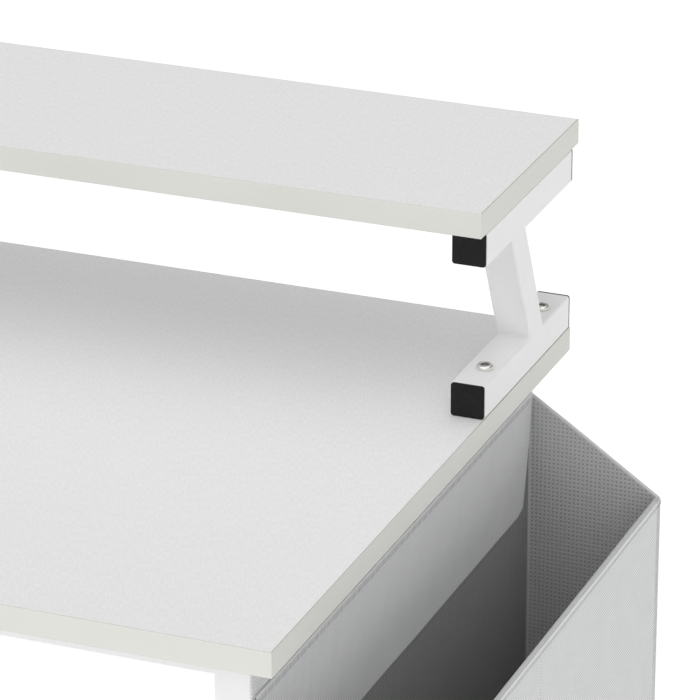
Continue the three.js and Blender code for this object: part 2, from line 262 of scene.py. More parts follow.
def woven(name, dark, light, rib, cross, depth, lining=False, mottle=0.12):
    """Woven cloth. Ribs run along the cloth's first direction, one rib size apart. Its colour runs
    from dark in the weave's valleys to light on its crests: painted shade and painted light.
    """
    f = Finish(name, Sheen_Weight=0.12, Sheen_Roughness=0.5, IOR=1.4)
    place = f.cloth_place()
    u, v = f.axes(place)[0], f.axes(place)[1]
    wander = f.math("MULTIPLY", f.noise(place, 60.0, 2.0), WANDER)
    ribs = f.math("SINE", f.math("MULTIPLY", f.math("ADD", v, wander), 2 * math.pi / rib))
    yarns = f.math("SINE", f.math("MULTIPLY", f.math("ADD", u, wander), 2 * math.pi / cross))
    twist = f.math("SINE", f.math("MULTIPLY", f.math("ADD", u, v), 2 * math.pi / (cross * 0.7)))
    height = f.math("ADD", f.math("MULTIPLY", ribs, 0.54), f.math("MULTIPLY", yarns, 0.36))
    height = f.math("ADD", height, f.math("MULTIPLY", twist, 0.10))
    fuzz = f.noise(place, 3200.0, 3.0, 0.7)
    cloud = f.noise(place, 45.0, 3.0)
    # Painted shade in the weave's valleys and painted light on its crests, plus a random cloudy
    # mottle of the cloth's own tone.
    relief_shade_and_light = f.span(height, -0.8, 0.8, 0.0, 1.0 - mottle)
    relief_shading_and_mottle = f.math("ADD", relief_shade_and_light, f.math("MULTIPLY", cloud, mottle))
    base = f.mix(relief_shading_and_mottle, dark, light)
    normal = f.bump(height, depth, 0.8)
    if lining:
        # Painted light: the lining's end walls are mixed towards a pale grey.
        ends = f.math("ABSOLUTE", f.math("SUBTRACT", f.axes(f.place())[1], BAG_MIDDLE))
        ends = f.math("GREATER_THAN", ends, BAG_LONG / 2 - END_LINING)
        base = f.mix(ends, base, f.mix(END_WALL_PAINTED_LIGHT, base, grey(END_WALL_PAINTED_LIGHT_GREY)))
        base, normal = embossed(f, u, v, base, normal)
    f.set("Base Color", base)
    f.set("Roughness", f.span(fuzz, 0.3, 0.7, 0.82, 0.96))
    f.set("Normal", f.bump(fuzz, 0.00006, 0.5, normal))
    return f.material


def embossed(f, u, v, base, normal):
    """Small round pits on a square grid, as pressed non-woven lining has."""
    def offset(value):
        cell = f.math("FRACT", f.math("DIVIDE", value, DOT_PITCH))
        return f.math("MULTIPLY", f.math("SUBTRACT", cell, 0.5), DOT_PITCH)
    away = f.math("SQRT", f.math("ADD", f.math("POWER", offset(u), 2.0),
                                 f.math("POWER", offset(v), 2.0)))
    pit = f.span(away, DOT_RADIUS * 0.6, DOT_RADIUS * 1.3, 1.0, 0.0, smooth=True)
    colour = f.mix(f.math("MULTIPLY", pit, 0.36), base, grey(0.09, -0.05))
    return colour, f.bump(f.math("SUBTRACT", 1.0, pit), 0.0003, 0.8, normal)


def thread(name, low, high):
    f = Finish(name, Sheen_Weight=0.2, Roughness=0.75)
    where = f.place()
    strands = f.noise(where, 5200.0, 2.0)
    f.set("Base Color", f.mix(strands, grey(low), grey(high)))
    f.set("Normal", f.bump(strands, 0.00008))
    return f.material


LAMINATE = laminate()
BAND = edge_band()
GLUE = glue()
PAINT = powder_coat()
CAP = black_plastic("black_cap_plastic", 0.0075, 0.0110)
FOOT = black_plastic("black_foot_plastic", 0.011, 0.020)
NICKEL = metal("bright_bolt", tinted(0.86, 0.85, 0.82), 0.10, 0.22, 1400.0)
# Darker metal for the faces inside the hex sockets: painted shade in the recess.
SOCKET_PAINTED_SHADE = metal("dark_bolt_socket", tinted(0.52, 0.51, 0.49), 0.20, 0.32, 1400.0)
ZINC = metal("zinc_screw", tinted(0.62, 0.63, 0.64), 0.28, 0.42, 2200.0)
OUTER = woven("grey_bag_fabric", tinted(0.478, 0.481, 0.490), tinted(0.985, 0.990, 1.000),
              2.3 * MM, 1.5 * MM, 0.00034)
FLAP = woven("grey_flap_fabric", tinted(0.485, 0.486, 0.496), tinted(0.970, 0.971, 0.982),
             2.1 * MM, 1.9 * MM, 0.00030)
TAPE = woven("grey_rim_tape", tinted(0.500, 0.502, 0.505), tinted(0.680, 0.682, 0.685),
             1.1 * MM, 0.9 * MM, 0.00015)
LINING = woven("dark_dotted_lining", tinted(0.235, 0.240, 0.237), tinted(0.310, 0.315, 0.310),
               1.6 * MM, 1.6 * MM, 0.00008, lining=True)
THREAD = thread("grey_thread", 0.20, 0.33)
# The hem thread's dark grey is painted shade for the shadow lines between the overlock threads.
HEM_THREAD_PAINTED_SHADE = thread("hem_thread_painted_shade", 0.36, 0.52)


# ---- mesh helpers ----
class Shape:
    """Vertices, faces and cloth coordinates of one piece."""

    def __init__(self):
        self.points = []
        self.faces = []
        self.cloth = []

    def ring(self, points, cloth=None):
        start = len(self.points)
        self.points.extend(points)
        self.cloth.extend(cloth or [(p[0], p[2]) for p in points])
        return list(range(start, len(self.points)))

    def bridge(self, a, b, closed=True):
        count = len(a)
        for i in range(count if closed else count - 1):
            j = (i + 1) % count
            self.faces.append((a[i], a[j], b[j], b[i]))

    def loft(self, rings, caps=True, loop=False, cloth=None):
        made = []
        for number, points in enumerate(rings):
            made.append(self.ring(points, cloth[number] if cloth else None))
        for a, b in zip(made, made[1:]):
            self.bridge(a, b)
        if loop:
            self.bridge(made[-1], made[0])
        elif caps:
            self.faces.append(tuple(reversed(made[0])))
            self.faces.append(tuple(made[-1]))

    def move(self, change):
        self.points = [change(p) for p in self.points]


def build(name, shape, finish, body, stands_for=(), sharp=38.0):
    mesh = bpy.data.meshes.new(name)
    mesh.from_pydata([tuple(p) for p in shape.points], [], shape.faces)
    mesh.validate()
    layer = mesh.uv_layers.new(name="cloth")
    for loop in mesh.loops:
        layer.data[loop.index].uv = shape.cloth[loop.vertex_index]
    bm = bmesh.new()
    bm.from_mesh(mesh)
    bmesh.ops.recalc_face_normals(bm, faces=bm.faces)
    bm.to_mesh(mesh)
    bm.free()
    mesh.materials.append(finish)
    mesh.shade_smooth()
    mesh.set_sharp_from_angle(angle=math.radians(sharp))
    piece = bpy.data.objects.new(name, mesh)
    bpy.context.scene.collection.objects.link(piece)
    flats = piece.modifiers.new("flats_stay_flat", "WEIGHTED_NORMAL")
    flats.keep_sharp = True
    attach(piece, body)
    if stands_for:
        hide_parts(*stands_for)
    return piece


def section(width, depth, radius, steps=4):
    """A rounded rectangle about the origin, anticlockwise."""
    points = []
    for cx, cy, turn in ((1, 1, 0), (-1, 1, 1), (-1, -1, 2), (1, -1, 3)):
        for i in range(steps + 1):
            angle = (turn + i / steps) * math.pi / 2
            points.append((cx * (width / 2 - radius) + radius * math.cos(angle),
                           cy * (depth / 2 - radius) + radius * math.sin(angle)))
    return points


def lift(flat, matrix):
    return [matrix @ Vector((p[0], p[1], 0.0)) for p in flat]


def lying(axis, centre):
    """A matrix that turns a section's own Z onto the named axis at a centre."""
    turns = {
        "x": Matrix(((0, 0, 1), (1, 0, 0), (0, 1, 0))),
        "y": Matrix(((1, 0, 0), (0, 0, -1), (0, 1, 0))),
        "z": Matrix.Identity(3),
    }
    return Matrix.Translation(centre) @ turns[axis].to_4x4()


def soft_block(shape, matrix, width, depth, radius, z0, z1, ease0, ease1, steps=3):
    """A rounded prism whose two end edges are eased."""
    rings = []
    for ease, base, sign in ((ease0, z0, 1), (ease1, z1, -1)):
        part = []
        for i in range(steps + 1):
            turn = i / steps * math.pi / 2
            inset = ease * (1 - math.sin(turn))
            height = base + sign * ease * (1 - math.cos(turn))
            corner_radius = max(radius - inset, radius * 0.35)
            flat = section(width - 2 * inset, depth - 2 * inset, corner_radius)
            part.append(lift(flat, matrix @ Matrix.Translation((0, 0, height))))
        rings.extend(part if sign > 0 else reversed(part))
    shape.loft(rings)


def square_tube(shape, matrix, width, depth, radius, wall, z0, z1, ease=0.25 * MM, shear=0.0):
    """A hollow tube along the matrix's Z; shear slides it along Y as it rises."""
    rings = []
    stations = ((z0, ease), (z0 + ease, 0.0), (z1 - ease, 0.0), (z1, ease))

    def at(z, w, d, r):
        slide = Matrix.Translation((0, shear * z, z))
        return lift(section(w, d, r), matrix @ slide)

    for z, inset in stations:
        rings.append(at(z, width - 2 * inset, depth - 2 * inset, radius))
    bore_radius = max(radius - 0.6 * wall, 0.4 * MM)
    for z in (z1, z0):
        rings.append(at(z, width - 2 * wall, depth - 2 * wall, bore_radius))
    shape.loft(rings, loop=True)


def revolve(shape, centre, profile, segments=48):
    """Rings of (radius, height) turned about Z; a radius may be a function of the angle."""
    rings = []
    for radius, height in profile:
        ring = []
        for i in range(segments):
            angle = i / segments * 2 * math.pi
            r = radius(angle) if callable(radius) else radius
            ring.append(Vector((centre[0] + r * math.cos(angle),
                                centre[1] + r * math.sin(angle),
                                centre[2] + height)))
        rings.append(ring)
    shape.loft(rings)


def weld_bead(shape, start, end, radius=0.9 * MM, pitch=1.5 * MM):
    """A low rippled fillet weld between two points."""
    length = (end - start).length
    direction = (end - start).normalized()
    side = direction.cross(Vector((0, 0, 1))).normalized()
    up = side.cross(direction)
    count = max(8, int(length / (pitch / 4)))
    rings = []
    for i in range(count + 1):
        t = i / count
        ripple = 1 + 0.14 * math.sin(2 * math.pi * t * length / pitch) + rng.uniform(-0.03, 0.03)
        swell = min(1.0, 6 * min(t, 1 - t) + 0.35)
        r = radius * ripple * swell
        centre = start + direction * (t * length)
        ring = []
        for k in range(10):
            a = k / 10 * 2 * math.pi
            ring.append(centre + side * (r * math.cos(a)) + up * (r * math.sin(a)))
        rings.append(ring)
    shape.loft(rings)


# ---- boards, their bands and the glue lines ----
SIDE_GLUE = 0.34 * MM
LONG_GLUE = 0.20 * MM
BAND_EASE = 0.34 * MM


def block(shape, low, high, ease):
    size = high - low
    middle = (low + high) / 2
    soft_block(shape, Matrix.Translation((middle.x, middle.y, 0)), size.x, size.y,
               ease, low.z, high.z, ease, ease)


def board(prefix):
    low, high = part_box(prefix + "_board")
    inset = Vector((SIDE_GLUE, LONG_GLUE, 0))
    panel = Shape()
    block(panel, low + inset, high - inset, 0.12 * MM)
    build(prefix + "_panel", panel, LAMINATE, "desk_frame",
          [prefix + "_board"])
    line = Shape()
    drop = Vector((0, 0, 0.10 * MM))
    block(line, low + drop, high - drop, 0.05 * MM)
    build(prefix + "_glue_line", line, GLUE, "desk_frame")
    for side in ("front", "back", "left", "right"):
        low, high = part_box(f"{prefix}_edge_{side}")
        strip = Shape()
        block(strip, low, high, BAND_EASE)
        build(f"{prefix}_{side}_band", strip, BAND, "desk_frame",
              [f"{prefix}_edge_{side}"])


board("worktop")
board("shelf")

# ---- shelf brackets ----
TUBE = 25 * MM
TUBE_RADIUS = 1.9 * MM
TUBE_WALL = 1.2 * MM
PLUG_WIDTH = TUBE - 2 * TUBE_WALL - 0.6 * MM
PLUG_RADIUS = 1.2 * MM
WELD_OVERLAP = 0.3 * MM
CAP_HEAD = 1.7 * MM
FRONT_CAP_WIDTH = 24.2 * MM
BACK_CAP_WIDTH = 25.0 * MM
STRUT_LEAN = math.radians(24.5)
BOLT_HEAD_HEIGHT = 3.2 * MM
BOLT_CROWN = 4.1 * MM
SOCKET_REACH = 3.6 * MM


def end_cap(node, facing):
    """facing is -1 for a cap whose head points to -Y and 1 for +Y."""
    low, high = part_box(node)
    centre = (low + high) / 2
    face = low.y if facing < 0 else high.y
    cap = Shape()
    matrix = Matrix.Translation((centre.x, face, centre.z)) @ Matrix.Rotation(
        facing * math.pi / 2, 4, "X")
    width = FRONT_CAP_WIDTH if facing < 0 else BACK_CAP_WIDTH
    soft_block(cap, matrix, width, width, 2.0 * MM, 0, CAP_HEAD, 0.30 * MM, 0.05 * MM)
    soft_block(cap, matrix, PLUG_WIDTH, PLUG_WIDTH, PLUG_RADIUS, CAP_HEAD * 0.5, 12 * MM,
               0.1 * MM, 0.8 * MM)
    for k in (-1, 0, 1):
        rib = matrix @ Matrix.Translation((k * 6 * MM, 0, 0))
        soft_block(cap, rib, 1.2 * MM, PLUG_WIDTH + 0.5 * MM, 0.4 * MM, 2 * MM, 11 * MM,
                   0.2 * MM, 0.5 * MM)
    build(node.replace("_cap", "_end_cap"), cap, CAP, "desk_frame", [node])


def hexagon(across_corners):
    flat = across_corners / 2 * math.cos(math.pi / 6)
    return lambda angle: flat / math.cos((angle + math.pi / 6) % (math.pi / 3) - math.pi / 6)


def socket_bolt(node):
    low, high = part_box(node)
    centre = (low + high) / 2
    seat = high.z - BOLT_HEAD_HEIGHT
    bolt = Shape()
    profile = [(0.6 * MM, low.z - seat), (2.3 * MM, low.z - seat + 0.6 * MM)]
    profile += [(2.9 * MM, low.z - seat + 1.6 * MM), (2.9 * MM, -0.2 * MM)]
    head = (high.x - low.x) / 2
    profile += [(head - 0.4 * MM, -0.2 * MM), (head, 0.1 * MM), (head, 1.0 * MM)]
    for i in range(1, 6):
        turn = i / 6 * math.pi / 2
        radius = BOLT_CROWN + (head - BOLT_CROWN) * math.cos(turn)
        profile.append((radius, (1.0 + 2.1 * math.sin(turn)) * MM))
    profile += [(4.2 * MM, 3.12 * MM), (4.0 * MM, 3.1 * MM), (3.75 * MM, 2.9 * MM)]
    hexed = hexagon(6.4 * MM)
    profile += [(hexed, 2.6 * MM), (hexed, 1.2 * MM), (1.2 * MM, 0.7 * MM), (0.2 * MM, 0.5 * MM)]
    revolve(bolt, (centre.x, centre.y, seat), profile, 72)
    piece = build(node.replace("_bolt", "_socket_bolt"), bolt, NICKEL, "desk_frame", [node],
                  sharp=30.0)
    # The faces inside the hex socket take the darker finish: painted shade in the recess.
    piece.data.materials.append(SOCKET_PAINTED_SHADE)
    for face in piece.data.polygons:
        away = math.hypot(face.center.x - centre.x, face.center.y - centre.y)
        if away < SOCKET_REACH and face.center.z > seat:
            face.material_index = 1


def cross_recess(angle):
    fold = (angle + math.pi / 4) % (math.pi / 2) - math.pi / 4
    return min(2.2 * MM, 0.55 * MM / max(abs(math.sin(fold)), 0.2))


def pan_screw(node, name):
    low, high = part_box(node)
    centre = (low + high) / 2
    screw = Shape()
    profile = [(0.15 * MM, 1.1 * MM), (lambda a: cross_recess(a) * 0.5, 1.05 * MM)]
    profile += [(cross_recess, 0.06 * MM), (lambda a: cross_recess(a) + 0.12 * MM, 0.0)]
    profile += [(2.9 * MM, 0.06 * MM), (3.5 * MM, 0.4 * MM), (3.9 * MM, 1.1 * MM)]
    profile += [(4.0 * MM, 2.2 * MM), (3.9 * MM, 2.4 * MM), (1.95 * MM, 2.4 * MM)]
    top = high.z - low.z
    profile += [(1.95 * MM, top - 3 * MM), (0.2 * MM, top - 0.1 * MM)]
    revolve(screw, (centre.x, centre.y, low.z), profile, 48)
    build(name, screw, ZINC, "desk_frame", [node], sharp=30.0)


def bracket(side):
    lower_low, lower_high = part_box(f"{side}_bracket_lower_tube")
    upper_low, upper_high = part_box(f"{side}_bracket_upper_tube")
    strut_low, strut_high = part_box(f"{side}_bracket_strut")
    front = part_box(f"{side}_lower_front_cap")[0].y
    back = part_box(f"{side}_lower_back_cap")[1].y
    frame_shape = Shape()
    length = back - front - 2 * CAP_HEAD
    for low, high in ((lower_low, lower_high), (upper_low, upper_high)):
        centre = Vector(((low.x + high.x) / 2, front + CAP_HEAD, (low.z + high.z) / 2))
        matrix = Matrix.Translation(centre) @ Matrix.Rotation(-math.pi / 2, 4, "X")
        square_tube(frame_shape, matrix, TUBE, TUBE, TUBE_RADIUS, TUBE_WALL, 0, length)

    # The strut is sheared, so its box gives both its depth and its lean.
    rise = strut_high.z - strut_low.z
    depth = TUBE / math.cos(STRUT_LEAN)
    run = (strut_high.y - strut_low.y) - depth
    lean = -run / rise
    centre = (strut_low + strut_high) / 2
    reach = rise / 2 + TUBE_RADIUS + WELD_OVERLAP
    square_tube(frame_shape, Matrix.Translation(centre), TUBE, depth, TUBE_RADIUS, TUBE_WALL,
                -reach, reach, ease=0.0, shear=lean)
    half = TUBE / 2 - TUBE_RADIUS
    for z, inside in ((lower_high.z, 0.15 * MM), (upper_low.z, -0.15 * MM)):
        for face in (-1, 1):
            y = centre.y + lean * (z - centre.z) + face * (depth / 2 - 0.1 * MM)
            weld_bead(frame_shape, Vector((centre.x - half, y, z + inside)),
                      Vector((centre.x + half, y, z + inside)), 0.7 * MM)
    nodes = [f"{side}_bracket_{part}" for part in ("lower_tube", "upper_tube", "strut")]
    build(f"{side}_bracket", frame_shape, PAINT, "desk_frame", nodes)
    for level in ("lower", "upper"):
        end_cap(f"{side}_{level}_front_cap", -1)
        end_cap(f"{side}_{level}_back_cap", 1)
    for end in ("front", "back"):
        socket_bolt(f"{side}_{end}_bolt")
        pan_screw(f"{side}_{end}_shelf_screw", f"{side}_{end}_shelf_fixing_screw")


bracket("left")
bracket("right")

# ---- leg frame ----
LEG_RADIUS = 1.6 * MM
CORNERS = ("front_left", "front_right", "back_left", "back_right")
for where in CORNERS:
    low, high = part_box(where + "_leg")
    leg = Shape()
    square_tube(leg, Matrix.Translation(((low.x + high.x) / 2, (low.y + high.y) / 2, 0)),
                TUBE, TUBE, LEG_RADIUS, TUBE_WALL, low.z, high.z)
    build(where + "_leg_tube", leg, PAINT, "desk_frame", [where + "_leg"])


def rail(node, axis, name):
    """A rail or bar between two legs, run into their rounded corners and welded."""
    low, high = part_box(node)
    centre = (low + high) / 2
    size = high - low
    shape = Shape()
    spot = "xyz".index(axis)
    reach = size[spot] / 2 + LEG_RADIUS + WELD_OVERLAP
    if axis == "x":
        across = Vector((0, 1, 0))
        along = Vector((1, 0, 0))
        width = size.y
    else:
        across = Vector((1, 0, 0))
        along = Vector((0, 1, 0))
        width = size.x
    square_tube(shape, lying(axis, centre), width, size.z, LEG_RADIUS, TUBE_WALL,
                -reach, reach, ease=0.0)
    half = TUBE / 2 - 2.2 * MM
    levels = (low.z,) if "rail" in node else (low.z, high.z)
    for end in (-1, 1):
        for z in levels:
            spot_at = centre + along * (end * (size[spot] / 2 + 0.2 * MM))
            spot_at.z = z
            weld_bead(shape, spot_at - across * half, spot_at + across * half)
    build(name, shape, PAINT, "desk_frame", [node])


for node, axis in (("front_rail", "x"), ("back_rail", "x"), ("back_lower_bar", "x"),
                   ("left_rail", "y"), ("right_rail", "y"),
                   ("left_lower_bar", "y"), ("right_lower_bar", "y")):
    rail(node, axis, node + "_tube")
for where in CORNERS:
    pan_screw(where + "_worktop_screw", where + "_worktop_fixing_screw")


# ---- leg plugs and levelling feet ----
STUD_START = 6 * MM
STUD_PITCH = 1.25 * MM


def leg_plug(where):
    low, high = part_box(where + "_leg_plug")
    centre = (low + high) / 2
    plug = Shape()
    at = Matrix.Translation((centre.x, centre.y, 0))
    soft_block(plug, at, TUBE - 0.2 * MM, TUBE - 0.2 * MM, LEG_RADIUS, low.z,
               low.z + 3.2 * MM, 0.7 * MM, 0.1 * MM)
    soft_block(plug, at, PLUG_WIDTH, PLUG_WIDTH, PLUG_RADIUS, low.z + 2 * MM, high.z,
               0.1 * MM, 0.8 * MM)
    build(where + "_leg_end_plug", plug, CAP, "desk_frame", [where + "_leg_plug"])


def levelling_foot(where):
    low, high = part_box(where + "_foot")
    centre = (low + high) / 2
    at = (centre.x, centre.y, low.z)
    body = where + "_levelling_foot"

    def grip(radius):
        return lambda angle: radius * (1 - 0.035 * max(0.0, math.cos(14 * angle)) ** 2)

    pad = Shape()
    profile = [(8.5 * MM, 0.5 * MM), (9.0 * MM, 0.0), (10.3 * MM, 0.0), (11.4 * MM, 0.4 * MM)]
    profile += [(grip(11.9 * MM), 1.4 * MM), (grip(12.0 * MM), 3.4 * MM)]
    profile += [(grip(11.9 * MM), 5.4 * MM)]
    profile += [(11.2 * MM, 6.3 * MM), (9.6 * MM, 6.9 * MM), (7.6 * MM, 7.3 * MM)]
    profile += [(hexagon(13.6 * MM), 7.6 * MM), (hexagon(13.4 * MM), 8.8 * MM)]
    profile += [(hexagon(12.6 * MM), 9.0 * MM), (4.4 * MM, 9.0 * MM)]
    revolve(pad, at, profile, 84)
    build(where + "_foot_pad", pad, FOOT, body, [where + "_foot"], sharp=30.0)

    stud = Shape()
    top = high.z - low.z
    steps = int((top - STUD_START) / (STUD_PITCH / 6))
    profile = []
    for i in range(steps + 1):
        z = STUD_START + i * STUD_PITCH / 6

        def thread_radius(angle, z=z):
            turn = (z / STUD_PITCH - angle / (2 * math.pi)) % 1.0
            return (3.35 + 0.6 * abs(2 * turn - 1)) * MM

        profile.append((thread_radius, z))
    profile.append((2.8 * MM, top))
    revolve(stud, at, profile, 28)
    build(where + "_foot_stud", stud, ZINC, body, (), sharp=50.0)


for where in CORNERS:
    leg_plug(where)
    levelling_foot(where)

# ---- side bag ----
def lip(x):
    """Height of the slanted mouth above a place across the bag."""
    t = min(max((x - BAG_LOW.x) / BAG_WIDE, 0.0), 1.0)
    return LIP_DESK + (LIP_OUTER - LIP_DESK) * t


def smooth(t):
    t = min(max(t, 0.0), 1.0)
    return t * t * (3 - 2 * t)


CREASE_WIDTH = 0.55 * MM


def relax(point):
    """How the sewn cloth hangs: soft bulges, a centre crease, a sagging floor."""
    p = Vector(point)
    across = (p.x - BAG_LOW.x) / BAG_WIDE
    along = min(max((p.y - BAG_LOW.y) / BAG_LONG, 0.0), 1.0)
    up = min(max((p.z - BAG_LOW.z) / (lip(p.x) - BAG_LOW.z), 0.0), 1.0)
    outer = smooth((across - 0.45) / 0.5)
    end = 2 * along - 1
    end_weight = smooth((abs(end) - 0.8) / 0.19)
    crown = math.sin(math.pi * along) * math.sin(math.pi * up)
    crease = math.exp(-(((p.y - BAG_MIDDLE) / CREASE_WIDTH) ** 2))
    crease *= 1 - smooth((up - 0.975) / 0.02)
    low = noise.noise(p * 9.0)
    fine = noise.noise(p * 34.0 + Vector((4, 7, 2)))
    away = smooth(across / 0.3)
    held = 1 - 0.55 * smooth((up - 0.8) / 0.2)
    corner = smooth((1 - abs(end)) / 0.08)
    p.x += outer * (1.5 * crown + held * (0.35 * low + 0.08 * fine) * corner - 0.6 * crease) * MM
    sink = math.sin(math.pi * min(max(across, 0.0), 1.0)) * math.sin(math.pi * up)
    p.y += math.copysign(end_weight, end) * away * (0.8 * low * held - 1.2 * sink) * MM
    floor_weight = (1 - up) ** 8
    bowl = math.sin(math.pi * along) * math.sin(math.pi * min(max(across, 0), 1))
    p.z -= floor_weight * 2.6 * bowl * MM
    p.z += away * (0.35 * noise.noise(p * 14.0) - 0.5 * math.sin(math.pi * along) * outer) * MM
    return p


CREASE_STEPS = (-4.0, -2.2, -1.3, -0.7, -0.3, 0.0, 0.3, 0.7, 1.3, 2.2, 4.0)
LONG_SHARES = sorted([i / 72 for i in range(1, 72) if abs(i / 72 - 0.5) > 0.012]
                     + [0.5 + step * MM / BAG_LONG for step in CREASE_STEPS])
SHORT_SHARES = [i / 16 for i in range(1, 16)]


def bag_loop(inset, corner_steps=6):
    """Points, outward directions and lengths round the bag, inset from its outside.

    The wall beside the legs is thinner, so its inset is smaller in proportion.
    """
    low = Vector((BAG_LOW.x + inset * DESK_WALL / BAG_WALL, BAG_LOW.y + inset))
    high = Vector((BAG_HIGH.x - inset, BAG_HIGH.y - inset))
    radius = max(BAG_CORNER - inset, 0.8 * MM)
    centres = ((high.x - radius, high.y - radius, 0), (low.x + radius, high.y - radius, 1),
               (low.x + radius, low.y + radius, 2), (high.x - radius, low.y + radius, 3))
    points, normals = [], []
    for number, (cx, cy, turn) in enumerate(centres):
        for i in range(corner_steps + 1):
            angle = (turn + i / corner_steps) * math.pi / 2
            normal = Vector((math.cos(angle), math.sin(angle), 0))
            points.append(Vector((cx, cy, 0)) + normal * radius)
            normals.append(normal)
        nx, ny, _ = centres[(number + 1) % 4]
        angle = (turn + 1) * math.pi / 2
        normal = Vector((math.cos(angle), math.sin(angle), 0))
        start = points[-1].copy()
        stop = Vector((nx, ny, 0)) + normal * radius
        for share in SHORT_SHARES if number % 2 == 0 else LONG_SHARES:
            points.append(start.lerp(stop, share))
            normals.append(normal)
    lengths = [0.0]
    for a, b in zip(points, points[1:]):
        lengths.append(lengths[-1] + (b - a).length)
    return points, normals, lengths


def wall_rings(inset, levels, top_drop):
    """Rings up a wall; levels run from 0 at the floor to 1 at the lip less top_drop."""
    points, _, lengths = bag_loop(inset)
    rings, cloth = [], []
    for level in levels:
        ring, uv = [], []
        for p, s in zip(points, lengths):
            top = lip(p.x) - top_drop
            z = BAG_LOW.z + (top - BAG_LOW.z) * level
            ring.append(Vector((p.x, p.y, z)))
            uv.append((s, z))
        rings.append(ring)
        cloth.append(uv)
    return rings, cloth


def floor_rings(inset, height, count=5):
    """Rings that close a floor towards its middle line."""
    rings, cloth = [], []
    for i in range(count):
        points, _, _ = bag_loop(inset + (i / (count - 1)) * (BAG_WIDE / 2 - inset - 2 * MM))
        rings.append([Vector((p.x, p.y, height)) for p in points])
        cloth.append([(p.y, p.x) for p in points])
    return rings, cloth


RIM_HEIGHT = 0.9 * MM
SHELL_THICK = 2.0 * MM
LINING_BACK = 2.3 * MM
LINING_DROP = 0.6 * MM
LEVELS = [0.0, 0.006, 0.012, 0.03] + [0.03 + 0.97 * i / 40 for i in range(1, 41)]

shell = Shape()
inner_rings, inner_cloth = wall_rings(SHELL_THICK, LEVELS[3:], RIM_HEIGHT)
outer_rings, outer_cloth = wall_rings(0.0, LEVELS[2:], RIM_HEIGHT)
soft_low, soft_cloth = wall_rings(0.9 * MM, [0.002], RIM_HEIGHT)
under, under_cloth = floor_rings(2.2 * MM, BAG_LOW.z)
over, over_cloth = floor_rings(SHELL_THICK, BAG_LOW.z + SHELL_THICK)
rings = list(reversed(over)) + inner_rings
cloth = list(reversed(over_cloth)) + inner_cloth
rings += list(reversed(outer_rings)) + soft_low + under
cloth += list(reversed(outer_cloth)) + soft_cloth + under_cloth
shell.loft(rings, cloth=cloth)
shell.move(relax)
build("bag_outer_cloth", shell, OUTER, "side_bag", ["bag_shell"], sharp=50.0)

lining = Shape()
hidden, hidden_cloth = wall_rings(LINING_BACK, LEVELS[3:], LINING_DROP)
facing, facing_cloth = wall_rings(BAG_WALL, LEVELS[3:], LINING_DROP)
base, base_cloth = floor_rings(LINING_BACK, BAG_LOW.z + LINING_BACK)
board_top, board_cloth = floor_rings(BAG_WALL, BAG_LOW.z + BAG_WALL)
rings = list(reversed(base)) + hidden + list(reversed(facing)) + board_top
cloth = list(reversed(base_cloth)) + hidden_cloth + list(reversed(facing_cloth)) + board_cloth
lining.loft(rings, cloth=cloth)
lining.move(relax)
build("bag_lining", lining, LINING, "side_bag", sharp=50.0)


def rim_band(name, finish, profile):
    """A strip sewn round the mouth; profile points are (distance inwards, drop below the lip)."""
    strip = Shape()
    rings, cloth = [], []
    length = 0.0
    last = None
    for inward, drop in profile:
        points, _, lengths = bag_loop(max(inward, 0.0))
        _, normals, _ = bag_loop(0.0)
        proud = min(inward, 0.0)
        ring = [Vector((p.x, p.y, lip(p.x) - drop)) - n * proud for p, n in zip(points, normals)]
        if last is not None:
            length += math.dist(last, (inward, drop))
        last = (inward, drop)
        rings.append(ring)
        cloth.append([(s, length) for s in lengths])
    strip.loft(rings, loop=True, cloth=cloth)
    strip.move(relax)
    return build(name, strip, finish, "side_bag", sharp=60.0)


rim_band("bag_rim_tape", TAPE, [
    (0.7 * MM, 1.6 * MM), (0.55 * MM, 0.5 * MM), (1.0 * MM, 0.05 * MM), (1.9 * MM, -0.15 * MM),
    (2.8 * MM, 0.05 * MM), (3.25 * MM, 0.5 * MM), (3.3 * MM, 1.8 * MM), (2.9 * MM, 2.0 * MM),
    (2.8 * MM, 1.2 * MM)])
rim_band("bag_rim_fold", OUTER, [
    (-0.05 * MM, 3.0 * MM), (-0.35 * MM, 2.6 * MM), (-0.45 * MM, 1.6 * MM), (-0.25 * MM, 0.7 * MM),
    (0.3 * MM, 0.25 * MM), (0.75 * MM, 0.35 * MM), (0.8 * MM, 2.9 * MM)])


# ---- stitches ----
def stitch(shape, start, end, out, radius):
    """One thread length pulled a little into the cloth at both ends."""
    along = end - start
    direction = along.normalized()
    side = direction.cross(out).normalized()
    rings = []
    for t, size, sink in ((0.0, 0.35, -0.7), (0.15, 0.85, 0.0), (0.5, 1.0, 0.35),
                          (0.85, 0.85, 0.0), (1.0, 0.35, -0.7)):
        centre = start + along * t + out * (radius * sink)
        ring = []
        for k in range(6):
            a = k / 6 * 2 * math.pi
            ring.append(centre + (side * math.cos(a) + out * math.sin(a)) * (radius * size))
        rings.append(ring)
    shape.loft(rings)


def sew(shape, path, pitch, length, radius):
    """Stitches along a path of (point, outward direction)."""
    travelled = 0.0
    due = pitch / 2
    for (a, out), (b, _) in zip(path, path[1:]):
        step = (b - a).length
        while step > 0 and due <= travelled + step:
            t = (due - travelled) / step
            middle = a.lerp(b, t)
            half = (b - a).normalized() * (length / 2)
            lean = out.cross(half).normalized() * (0.06 * length)
            stitch(shape, middle - half - lean, middle + half + lean, out, radius)
            due += pitch
        travelled += step


def loop_path(drop, proud=0.0, level=None):
    points, normals, _ = bag_loop(0.0)
    path = []
    for p, n in zip(points + points[:1], normals + normals[:1]):
        z = lip(p.x) - drop if level is None else level
        path.append((relax(Vector((p.x, p.y, z))) + n * proud, n))
    return path


